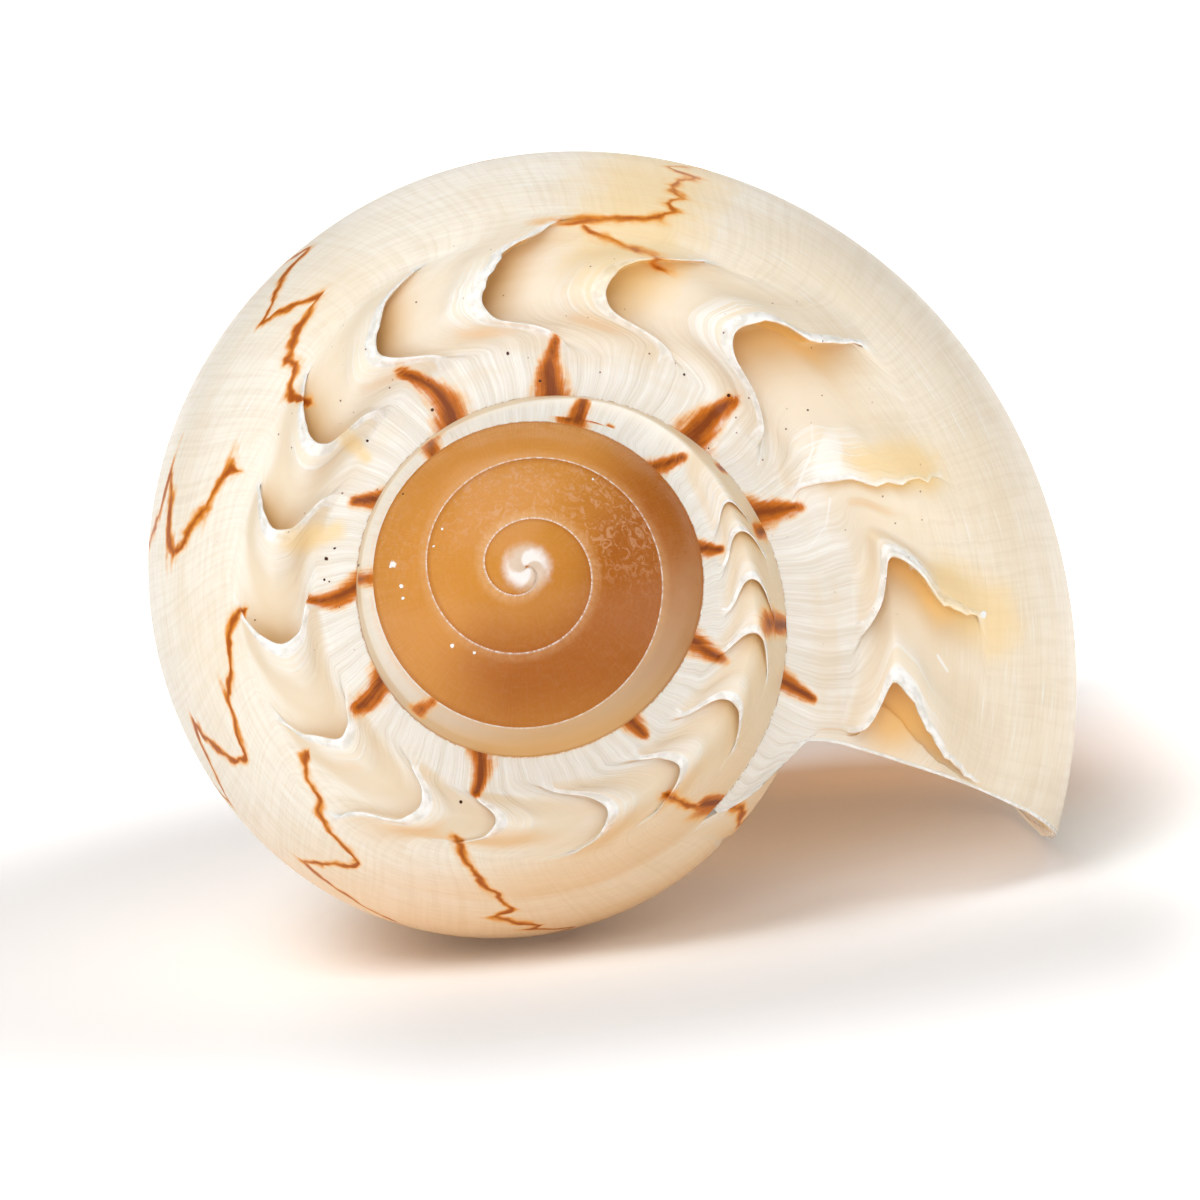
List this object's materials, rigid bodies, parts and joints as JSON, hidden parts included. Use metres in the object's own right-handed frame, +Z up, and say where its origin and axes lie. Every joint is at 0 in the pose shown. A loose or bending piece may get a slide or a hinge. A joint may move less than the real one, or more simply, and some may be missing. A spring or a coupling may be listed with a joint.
{
  "type": "melon shell",
  "caption": "Large dextral baler seashell with a domed apex, a ribbed ramp of hollow shoulder flutes and a wide open aperture, lying on its aperture.",
  "frame": {"origin": "middle of the bounding box, on the ground that the shell lies on", "axes": "+Z up, +Y from the apex towards the anterior end, +X towards the outer lip, seen with the apex in front"},
  "size_m": [0.1016, 0.137, 0.0851],
  "materials": {
    "cream_shell": "satin cream aragonite with a glossy orange-brown apex, pearly white ribs and brown zigzag marks"
  },
  "bodies": {
    "root": {"melon_shell": "cream_shell"}
  },
  "joints": []
}
